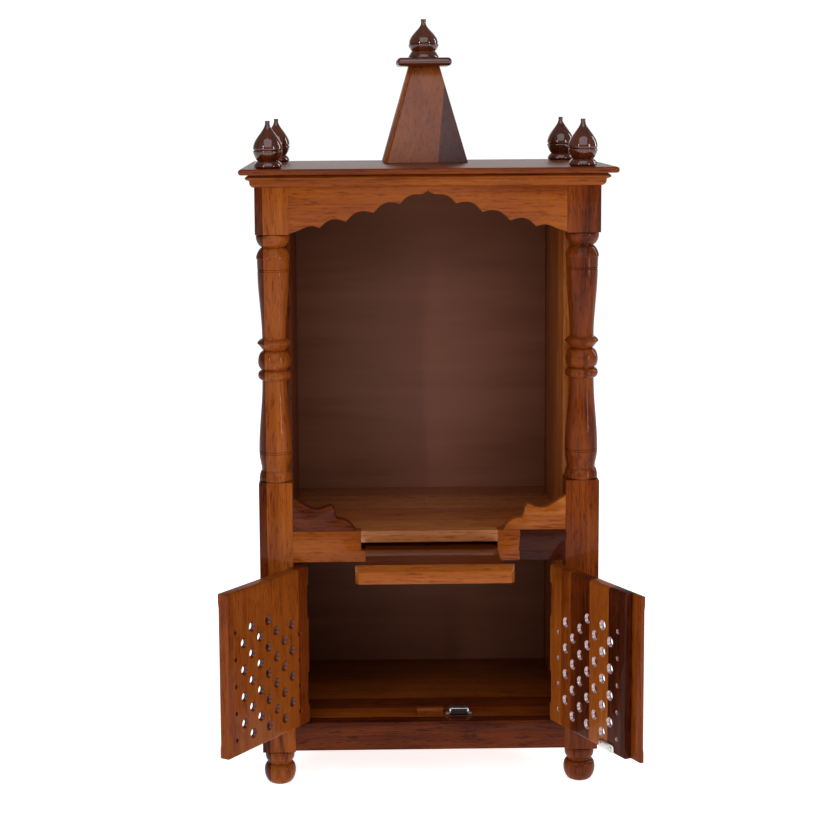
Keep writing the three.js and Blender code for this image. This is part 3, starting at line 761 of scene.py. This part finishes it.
def arch():
    low, high = corners("arch_frieze")
    reach = high.x - MIDDLE + JOINT_GAP
    edge = [(0, ARCH_APEX)]
    edge += bow(edge[-1], ARCH_SHOULDER, -0.8, 6)
    edge += bow(edge[-1], ARCH_CUSPS[0], 4.2, 12)
    for cusp in ARCH_CUSPS[1:]:
        edge += bow(edge[-1], cusp, SCALLOP_RISE, 14)
    edge += bow(edge[-1], ARCH_FLARE, 2.6, 10)
    edge += bow(edge[-1], (reach, ARCH_SPRING), -0.6, 6)
    outline = [(reach, high.z), (-reach, high.z)]
    outline += [(-x, z) for x, z in reversed(edge)]
    outline += edge[1:]
    mesh = slab(outline, upright, high.y - low.y, 0.6)
    piece("scalloped_arch", mesh, "cabinet", ["arch_frieze"], ORANGE, "X")


arch()


# ---- Cornice -------------------------------------------------------------------------------------

def cornice_profile(top):
    profile = [(0, CORNICE_BOTTOM), (0.8, CORNICE_BOTTOM)]
    profile += bow(profile[-1], (5.2, 741), -1.6, 10)
    profile += [(5.6, 742)]
    profile += bow(profile[-1], (6.4, top), -4.2, 16)
    return profile + [(0, top)]


def cornice():
    """Three lengths of moulding, mitred at the front corners."""
    low, high = corners("cornice_front")
    profile = cornice_profile(high.z)
    face_y = high.y
    half = corners("cornice_right")[0].x - MIDDLE
    back = corners("cornice_right")[1].y
    mitre = 0.2

    def front(u, v, w):
        side = 1 if w > 0.5 else -1
        return Vector((MIDDLE + side * (half + u - mitre), face_y - u, v))

    mesh = slab(profile, front, 1, 0)
    piece("moulding_front", mesh, "cabinet", ["cornice_front"], ORANGE, "X")
    for side, side_name, material in ((-1, "left", ORANGE), (1, "right", BROWN)):

        def flank(u, v, w):
            y = face_y - u + mitre if w < 0.5 else back
            return Vector((MIDDLE + side * (half + u), y, v))

        mesh = slab(profile, flank, 1, 0)
        piece(
            f"moulding_{side_name}", mesh, "cabinet", [f"cornice_{side_name}"], material, "Y"
        )


cornice()


# ---- Top board, finials and spire ----------------------------------------------------------------

top_low, top_high = corners("top_board")
piece(
    "crown_board", board(top_low, top_high, (top_high.z - top_low.z) / 2 - 0.3, 6),
    "cabinet", ["top_board"], CROWN_WOOD, "X",
)


def corner_finial_turning():
    return (
        Turning(14.8, 0)
        .line_to(15.2, 0.4)
        .bead_to(12, 8.5, 2.6)
        .bead_to(16.9, 20.4, 1.6)
        .groove(0.8, 1.2)
        .line_to(17.2, 22.4)
        .sweep_to(2.7, 53, 30, 1.2)
        .line_to(3.0, 55.2)
        .line_to(2.6, 55.6)
    )


def top_finial_turning():
    return (
        Turning(19.2, 0)
        .line_to(19.6, 0.5)
        .bead_to(14.8, 8.6, 0.8)
        .bead_to(18.6, 17.2, 1.6)
        .groove(0.7, 1.0)
        .sweep_to(3.2, 44, 30, 1.2)
        .line_to(3.5, 48.3)
        .line_to(3.1, 48.8)
    )


def finial(name, node, turning):
    low, high = corners(node)
    centre = (low + high) / 2
    rings = [round_ring(centre, radius, low.z + z) for radius, z in turning.points]
    piece(name, loft(rings), "cabinet", [node], FINIAL_WOOD)


for end in ("front", "back"):
    for side_name in ("left", "right"):
        finial(
            f"corner_finial_{end}_{side_name}", f"finial_{end}_{side_name}",
            corner_finial_turning(),
        )
finial("top_finial", "finial_spire", top_finial_turning())


def spire():
    """Four leaning boards, each covering the end of the next: front, right, back and left."""
    low = corners("spire_board_left")[0]
    high = corners("spire_board_right")[1]
    middle = (low + high) / 2
    base = (high.x - low.x) / 2
    lean = Matrix.Rotation(math.radians(-5.4), 4, "Y")  # the glued joint in the front board
    foot_left = lean @ low
    foot_right = lean @ Vector((high.x, low.y, low.z))
    finishes = (
        ("front", SPIRE_FRONT_WOOD, "wood_brown"), ("right", BROWN, "wood_brown"),
        ("back", BROWN, "wood_brown"), ("left", ORANGE, "wood_orange"),
    )
    for quarter, (board_name, material, slot) in enumerate(finishes):
        turn = Matrix.Rotation(quarter * math.pi / 2, 3, "Z")

        def level(half, z):
            start, inner = SPIRE_BOARD + JOINT_GAP - half, SPIRE_BOARD - half
            square = ((start, -half), (half, -half), (half, inner), (start, inner))
            centre = Vector((middle.x, middle.y, z))
            return [centre + turn @ Vector((x, y, 0)) for x, y in square]

        mesh = plank_between(level(base, low.z), level(base * SPIRE_NECK_SHARE, high.z), 0.4)
        piece(
            f"spire_{board_name}", mesh, "cabinet", [f"spire_board_{board_name}"], material,
            turn=lean, across=(0, foot_left.x, foot_right.x),
        )


spire()
cap_low, cap_high = corners("spire_cap")
piece(
    "cap_plate", board(cap_low, cap_high, (cap_high.z - cap_low.z) / 2 - 0.3, 6),
    "cabinet", ["spire_cap"], FINIAL_WOOD, "X",
)


# ---- Brackets ------------------------------------------------------------------------------------

def bracket(side, side_name, material):
    low, high = corners(f"bracket_{side_name}")
    length = BRACKET_LENGTH
    edge = [(0, 0), (length, 0)]
    edge += bow(edge[-1], (length - 22, 15.2), -4.2, 14)
    edge += bow(edge[-1], (length - 26, 27.5), 1.2, 8)
    edge += bow(edge[-1], (length - 35, 30), -2.6, 12)
    edge += bow(edge[-1], (22.5, 27.8), 1.8, 12)
    edge += bow(edge[-1], (0, 42.3), 0.6, 6)
    foot = low.z - JOINT_GAP
    outline = [(side * (POST_INNER - x), foot + z) for x, z in edge]
    mesh = slab(outline, upright, high.y - low.y, 0.8)
    piece(
        f"ogee_bracket_{side_name}", mesh, "cabinet", [f"bracket_{side_name}"], material, "X"
    )


bracket(-1, "left", BRACKET_DARK)
bracket(1, "right", BRACKET_PALE)


# ---- Tray ----------------------------------------------------------------------------------------

plain_board("tray_plate", "tray_board", TRAY_WOOD, "X", body="tray", ease=0.7)


def tray_runner(side, side_name):
    """A strip under the shelf with a ledge that carries one edge of the tray."""
    low, high = corners(f"tray_runner_{side_name}")
    wall, ledge = 10, 10
    outer, inner = (high.x, low.x) if side > 0 else (low.x, high.x)
    section = [
        (outer, low.z), (inner, low.z), (inner, low.z + ledge),
        (outer - side * wall, low.z + ledge), (outer - side * wall, high.z), (outer, high.z),
    ]
    mesh = slab(section, lambda u, v, w: Vector((u, low.y + w, v)), high.y - low.y, 0.4)
    piece(
        f"runner_{side_name}", mesh, "cabinet", [f"tray_runner_{side_name}"],
        BROWN, "Y",
    )


tray_runner(-1, "left")
tray_runner(1, "right")


def tray_front():
    low, high = corners("tray_front")
    square = high.y - 3

    def level(inset, bottom, top, y):
        return [
            Vector((low.x + inset, y, low.z + bottom)), Vector((high.x - inset, y, low.z + bottom)),
            Vector((high.x - inset, y, high.z - top)), Vector((low.x + inset, y, high.z - top)),
        ]

    mesh = bmesh.new()
    rows = [
        [mesh.verts.new(corner) for corner in ring]
        for ring in (level(0, 0, 0, high.y), level(0, 0, 0, square), level(4, 1.5, 5.6, low.y))
    ]
    for inner, outer in zip(rows, rows[1:]):
        for index in range(4):
            after = (index + 1) % 4
            mesh.faces.new((inner[index], inner[after], outer[after], outer[index]))
    mesh.faces.new(reversed(rows[0]))
    mesh.faces.new(rows[-1])
    bmesh.ops.recalc_face_normals(mesh, faces=mesh.faces[:])
    bmesh.ops.bevel(mesh, geom=mesh.edges[:], offset=0.6, segments=2, profile=0.5, affect="EDGES")
    piece("tray_pull", mesh, "tray", ["tray_front"], TRAY_FRONT_WOOD, "X")


tray_front()


# ---- Doors ---------------------------------------------------------------------------------------

def hinge_pin(joint_name):
    for joint in frame["joints"]:
        if joint["name"] == joint_name:
            return Vector(joint["pos_m"]) / MM
    raise ValueError(joint_name)


def round_cutter(x, z, profile, mouth):
    """A cutter through a shut door at x and z, its profile a list of radius and depth.
    The bore takes the second material, the bores' painted shade, and the third, the mouths' painted
    light, from the depth mouth inwards."""
    rings = [
        [
            Vector((x + reach * math.cos(turn), y, z - reach * math.sin(turn)))
            for turn in (2 * math.pi * index / 28 for index in range(28))
        ]
        for reach, y in profile
    ]
    mesh = loft(rings)
    for face in mesh.faces:
        face.material_index = 2 if face.calc_center_median().y > mouth else 1
    return mesh


def jali_cutters(mirror, bottom, top):
    """Round holes in staggered columns: through the sunk field, blind borings beside it."""
    cutters = []
    middle = (bottom + top) / 2 - 14
    radius, small = HOLE_DIAMETER / 2, EDGE_HOLE_DIAMETER / 2
    inner = PIN_AHEAD + DOOR_THICKNESS
    field = inner - FIELD_PLATE
    through = [
        (radius - 0.6, field - 1), (radius - 1.1, field + 0.4), (radius - 1.1, inner - 2.9),
        (radius - 0.7, inner - 2.3), (radius - 0.1, inner - 1.6), (radius + 0.4, inner - 0.9),
        (radius + 0.8, inner - 0.2), (radius + 1.1, inner + 0.6),
    ]
    blind = [(0.3, inner - EDGE_HOLE_DEPTH), (small - 0.3, inner - EDGE_HOLE_DEPTH + 0.8),
             (small, inner - 0.4), (small + 1.2, inner + 1)]
    for column in range(HOLE_COLUMNS):
        staggered = column % 2
        profile = blind if column in (0, HOLE_COLUMNS - 1) else through
        for row in range(-2, 3):
            if (staggered and row == -2) or (row == 2 and not staggered and column < 3):
                continue
            x = mirror * (HINGE_EDGE + FIRST_COLUMN + column * HOLE_PITCH)
            z = middle + (row - 0.5 * staggered) * 2 * HOLE_PITCH
            cutters.append(round_cutter(x, z, profile, inner - 2.9))
    return cutters


def field_cutter(mirror, bottom, top):
    """The field sunk in the outer face, with its corners cut across."""
    x0 = HINGE_EDGE + FIRST_COLUMN + HOLE_PITCH / 2
    x1 = x0 + (HOLE_COLUMNS - 2) * HOLE_PITCH
    z0 = (bottom + top - FIELD_HEIGHT) / 2 - 14
    z1 = z0 + FIELD_HEIGHT
    corner = FIELD_CORNER
    outline = [
        (x0 + corner, z0), (x1 - corner, z0), (x1, z0 + corner), (x1, z1 - corner),
        (x1 - corner, z1), (x0 + corner, z1), (x0, z1 - corner), (x0, z0 + corner),
    ]
    depth = PIN_AHEAD + DOOR_THICKNESS - FIELD_PLATE
    return slab(outline, lambda u, v, w: Vector((mirror * u, w, v)), depth, 0)


def stopped_chamfer(mirror, edge, bottom, top):
    """A cutter along a door's outer free arris that dies away before both ends."""
    rings = []
    stops = ((8, 0.05), (13, 1.4), (17, 2.0))
    places = [(bottom + rise, size) for rise, size in stops]
    places += [(top - drop, size) for drop, size in reversed(stops)]
    for z, size in places:
        corners_of_ring = [
            (edge + 0.6, PIN_AHEAD - 0.6), (edge + 0.6, PIN_AHEAD + size),
            (edge - size, PIN_AHEAD - 0.6),
        ]
        rings.append([Vector((mirror * u, v, z)) for u, v in corners_of_ring])
    return loft(rings)


def swing_of(side_name, mirror):
    """The turn that opens a door drawn shut, with its hinge pin at the origin."""
    pin = hinge_pin(f"door_{side_name}_hinge")
    angle = math.radians(DOOR_ANGLES[side_name]) * (-mirror)
    return Matrix.Translation(Vector((pin.x, pin.y, 0))) @ Matrix.Rotation(angle, 4, "Z")


def upright_plank(mirror, start, end, thickness, bottom, top, inner_round):
    """A door's plank: its section from the side, rounded more on the inner face's arrises."""
    section = [
        (PIN_AHEAD, bottom), (PIN_AHEAD + thickness, bottom),
        (PIN_AHEAD + thickness, top), (PIN_AHEAD, top),
    ]
    outline = rounded(section, (EASE, inner_round, inner_round, EASE))
    width = end - start
    return slab(
        outline, lambda u, v, w: Vector((mirror * (start + w), u, v)), width, EASE
    )


def door(side_name, mirror, material, mouth_painted_light, has_lip):
    node = f"door_{side_name}"
    low, high = corners(node)
    free_edge = HINGE_EDGE + DOOR_WIDTH
    plank = upright_plank(mirror, HINGE_EDGE, free_edge, DOOR_THICKNESS, low.z, high.z, 3.6)
    cutters = jali_cutters(mirror, low.z, high.z)
    for centre in (low.z + HINGE_FROM_END, high.z - HINGE_FROM_END):
        notch = sorted((mirror * (HINGE_EDGE - 5), mirror * (HINGE_EDGE + 3)))
        reach = HINGE_HEIGHT / 2 + JOINT_GAP
        cutters.append(board((notch[0], 0, centre - reach), (notch[1], 30, centre + reach), 0.3))
    if not has_lip:
        cutters.append(stopped_chamfer(mirror, free_edge, low.z, high.z))
    mesh = cut(cut(plank, field_cutter(mirror, low.z, high.z)), joined(*cutters))
    end = free_edge
    if has_lip:
        end = free_edge + LIP_WIDTH
        lip = upright_plank(mirror, free_edge - 1, end, LIP_THICKNESS, low.z, high.z, 1.5)
        mesh = joined(mesh, cut(lip, stopped_chamfer(mirror, end, low.z, high.z)))
    swing = swing_of(side_name, mirror)
    bmesh.ops.transform(mesh, matrix=swing, verts=mesh.verts[:])
    # The bores take painted shade and their mouths the painted light passed in.
    piece(
        f"pierced_door_{side_name}", mesh, f"door_{side_name}", [node],
        (material, PAINTED_BORE_SHADE, mouth_painted_light),
        turn=swing.inverted(), across=(0, mirror * HINGE_EDGE, mirror * end),
    )


# The left door's bore mouths take painted shade, the right door's a painted highlight.
door("left", 1, DOOR_LEFT_WOOD, PAINTED_MOUTH_SHADE, False)
door("right", -1, DOOR_RIGHT_WOOD, PAINTED_MOUTH_HIGHLIGHT, True)


# ---- Fittings ------------------------------------------------------------------------------------

def screw_head(place, outward, radius):
    """A low domed head with a slot, standing on a surface."""
    centre = Vector((0, 0, 0))
    dome = [(0.95, -0.3), (1.0, 0.0), (0.8, 0.28), (0.45, 0.42), (0.1, 0.46)]
    head = loft([round_ring(centre, radius * share, z) for share, z in dome])
    slot = board((-radius * 1.2, -0.32, 0.1), (radius * 1.2, 0.32, 2), 0.05)
    mesh = cut(head, slot)
    turn = UP.rotation_difference(Vector(outward)).to_matrix().to_4x4()
    bmesh.ops.transform(mesh, matrix=Matrix.Translation(place) @ turn, verts=mesh.verts[:])
    return mesh


def knuckle(low_z, high_z):
    """The rolled barrel, with fine lines where its five parts meet."""
    turning = Turning(1.2, low_z).line_to(KNUCKLE_RADIUS, low_z + 0.5)
    for part in range(1, 5):
        turning.line_to(KNUCKLE_RADIUS, low_z + (high_z - low_z) * part / 5 - 0.3)
        turning.groove(0.4, 0.6)
    turning.line_to(KNUCKLE_RADIUS, high_z - 0.5).line_to(1.2, high_z)
    return turned(Vector((0, 0, 0)), turning)


def hinge(side_name, mirror, end_name, centre):
    low_z, high_z = centre - HINGE_HEIGHT / 2, centre + HINGE_HEIGHT / 2
    face = -PIN_FROM_POST + 1.2
    post_x = sorted((mirror * (-PIN_FROM_POST + JOINT_GAP), mirror * face))
    parts = [board((post_x[0], 0, low_z), (post_x[1], 17, high_z), 0.2), knuckle(low_z, high_z)]
    for rise in (-13, 0, 13):
        parts.append(screw_head(Vector((mirror * face, 10.5, centre + rise)), (mirror, 0, 0), 2.4))
    mesh = joined(*parts)
    pin = hinge_pin(f"door_{side_name}_hinge")
    bmesh.ops.translate(mesh, vec=Vector((pin.x, pin.y, 0)), verts=mesh.verts[:])
    piece(
        f"hinge_{side_name}_{end_name}", mesh, "cabinet",
        [f"hinge_post_leaf_{side_name}_{end_name}"], STEEL,
    )
    outer = HINGE_EDGE + 1.2
    door_x = sorted((mirror * outer, mirror * (HINGE_EDGE + 2.7)))
    leaf_y = (KNUCKLE_RADIUS + JOINT_GAP, PIN_AHEAD + DOOR_THICKNESS - 1)
    parts = [board((door_x[0], leaf_y[0], low_z), (door_x[1], leaf_y[1], high_z), 0.2)]
    for rise in (-13, 0, 13):
        parts.append(
            screw_head(Vector((mirror * outer, 10.5, centre + rise)), (-mirror, 0, 0), 2.4)
        )
    mesh = joined(*parts)
    bmesh.ops.transform(mesh, matrix=swing_of(side_name, mirror), verts=mesh.verts[:])
    piece(
        f"hinge_leaf_{side_name}_{end_name}", mesh, f"door_{side_name}",
        [f"hinge_door_leaf_{side_name}_{end_name}"], STEEL,
    )


for side_name, mirror in (("left", 1), ("right", -1)):
    door_low, door_high = corners(f"door_{side_name}")
    hinge(side_name, mirror, "lower", door_low.z + HINGE_FROM_END)
    hinge(side_name, mirror, "upper", door_high.z - HINGE_FROM_END)

plain_board("door_stop", "stop_block", ORANGE, "X")


def catch():
    """A magnetic catch: a dark case in a bright frame, between two screwed ears."""
    low, high = corners("magnet_catch")
    middle = (low.x + high.x) / 2
    base = low.z
    ears = rounded(
        [(low.x, 0), (high.x, 0), (high.x, 8), (low.x, 8)], (3.5, 3.5, 3.5, 3.5)
    )
    plate = slab(ears, lambda u, v, w: Vector((u, low.y + 5 + v, base + w)), 2, 0.3)
    parts = [plate]
    for side in (-1, 1):
        parts.append(screw_head(Vector((middle + side * 14.6, low.y + 9, base + 2)), UP, 2.2))
        rail = middle + side * 11
        parts.append(
            board((rail - 1, low.y + 0.4, base + 0.5), (rail + 1, high.y, high.z - 0.3), 0.4)
        )
    parts.append(
        board((middle - 11, low.y + 1, high.z - 1.6), (middle + 11, high.y, high.z), 0.5)
    )
    piece("catch_frame", joined(*parts), "cabinet", ["magnet_catch"], CHROME)
    case = board((middle - 10.4, low.y + 1.2, base), (middle + 10.4, high.y - 0.5, high.z - 1), 0.8)
    poles = [
        board((middle - 8.6, low.y, z), (middle + 8.6, low.y + 3, z + 1.4), 0.3)
        for z in (base + 2.2, base + 5.6)
    ]
    piece("catch_case", joined(case, *poles), "cabinet", [], BLACK_STEEL)


catch()


def strike():
    """The catch's plate at the foot of the right door's inner face."""
    door_low = corners("door_right")[0]
    centre_x = hinge_pin("door_right_hinge").x - MIDDLE - 36.5
    low_z = door_low.z + 0.5
    inner = PIN_AHEAD + DOOR_THICKNESS
    outline = rounded([(-16, 0), (16, 0), (16, 10.5), (-16, 10.5)], (5, 5, 5, 5))

    def shut(u, v, w):
        return Vector((u - centre_x, inner + w, low_z + v))

    parts = [slab(outline, shut, 1.5, 0.4)]
    for side in (-1, 1):
        parts.append(
            screw_head(Vector((side * 10.5 - centre_x, inner + 1.5, low_z + 5.2)), (0, 1, 0), 2.2)
        )
    mesh = joined(*parts)
    bmesh.ops.transform(mesh, matrix=swing_of("right", -1), verts=mesh.verts[:])
    piece("strike", mesh, "door_right", ["strike_plate"], CHROME)


strike()


# ---- Studio and camera ---------------------------------------------------------------------------

def studio():
    """A plain pale floor."""
    mesh = bmesh.new()
    reach = 14000
    mesh.faces.new([
        mesh.verts.new((x, y, 0))
        for x, y in ((-reach, -reach), (reach, -reach), (reach, reach), (-reach, reach))
    ])
    data = bpy.data.meshes.new("studio_floor")
    bmesh.ops.scale(mesh, vec=(MM, MM, MM), verts=mesh.verts[:])
    mesh.to_mesh(data)
    mesh.free()
    shader = Shader("studio_paper")
    place = shader.add("ShaderNodeTexCoord").outputs["Object"]
    speck = shader.noise(place, (40, 40, 40))
    shader.put(
        shader.surface.inputs["Base Color"],
        shader.ramp(speck, [(0.3, (0.88, 0.88, 0.88)), (0.7, (0.91, 0.91, 0.91))]),
    )
    shader.surface.inputs["Roughness"].default_value = 0.9
    shader.surface.inputs["Specular IOR Level"].default_value = 0.1
    shader.surface.inputs["Emission Color"].default_value = (1, 1, 1, 1)
    shader.surface.inputs["Emission Strength"].default_value = 0.82
    data.materials.append(shader.material)
    floor = bpy.data.objects.new("studio_floor", data)
    bpy.context.scene.collection.objects.link(floor)


def softbox(name, place, aim, size, power, colour=(1, 1, 1)):
    light = bpy.data.lights.new(name, "AREA")
    light.shape = "RECTANGLE"
    light.size, light.size_y = size
    light.energy = power
    light.color = colour
    lamp = bpy.data.objects.new(name, light)
    lamp.location = place
    lamp.rotation_euler = (Vector(aim) - Vector(place)).to_track_quat("-Z", "Y").to_euler()
    bpy.context.scene.collection.objects.link(lamp)


def camera():
    """Where the eye stands, and how it is turned: pitch down, yaw to the right, then roll."""
    place = Vector((MIDDLE - 84.7203, FRONT - 2296.6221, 834.3233)) * MM
    pitch, yaw, roll = (math.radians(angle) for angle in (7.6011, 0.8113, 0.4111))
    ahead = Vector((
        math.sin(yaw) * math.cos(pitch), math.cos(yaw) * math.cos(pitch), -math.sin(pitch)
    ))
    right = Vector((math.cos(yaw), -math.sin(yaw), 0))
    down = ahead.cross(right)
    across = right * math.cos(roll) + down * math.sin(roll)
    upward = right * math.sin(roll) - down * math.cos(roll)
    data = bpy.data.cameras.new("camera")
    data.sensor_width = 36
    data.lens = 84.93
    data.shift_x = 0.0322
    data.shift_y = -0.0626
    eye = bpy.data.objects.new("camera", data)
    turn = Matrix((across, upward, -ahead)).transposed()
    eye.matrix_world = Matrix.Translation(place) @ turn.to_4x4()
    bpy.context.scene.collection.objects.link(eye)
    bpy.context.scene.camera = eye


studio()
camera()
softbox("window", (0, -2.3, 2.5), (0, 0, 0.5), (3.2, 2.8), 58, (0.86, 0.90, 1.0))
softbox("strip_left", (-1.5, -2.0, 1.1), (0, 0, 0.5), (0.08, 1.1), 10)
softbox("strip_right", (2.3, 1.0, 1.4), (0, 0, 0.5), (0.12, 1.5), 14)
softbox("strip_front", (1.9, -1.7, 0.8), (0.1, 0, 0.3), (0.3, 1.0), 12)
softbox("rear", (0, 3.2, 1.6), (0, 0, 0.8), (4.0, 1.2), 15)


def daylight():
    """Soft light from all round, with a white background behind the cabinet."""
    world = bpy.data.worlds.new("studio_light")
    bpy.context.scene.world = world
    world.use_nodes = True
    tree = world.node_tree
    rays = tree.nodes.new("ShaderNodeLightPath")
    strength = tree.nodes.new("ShaderNodeMapRange")
    strength.inputs["To Min"].default_value = 0.26
    strength.inputs["To Max"].default_value = 1.05
    tree.links.new(rays.outputs["Is Camera Ray"], strength.inputs["Value"])
    background = tree.nodes["Background"]
    background.inputs["Color"].default_value = (1, 1, 1, 1)
    tree.links.new(strength.outputs[0], background.inputs["Strength"])


daylight()
bpy.context.scene.view_settings.view_transform = "Standard"
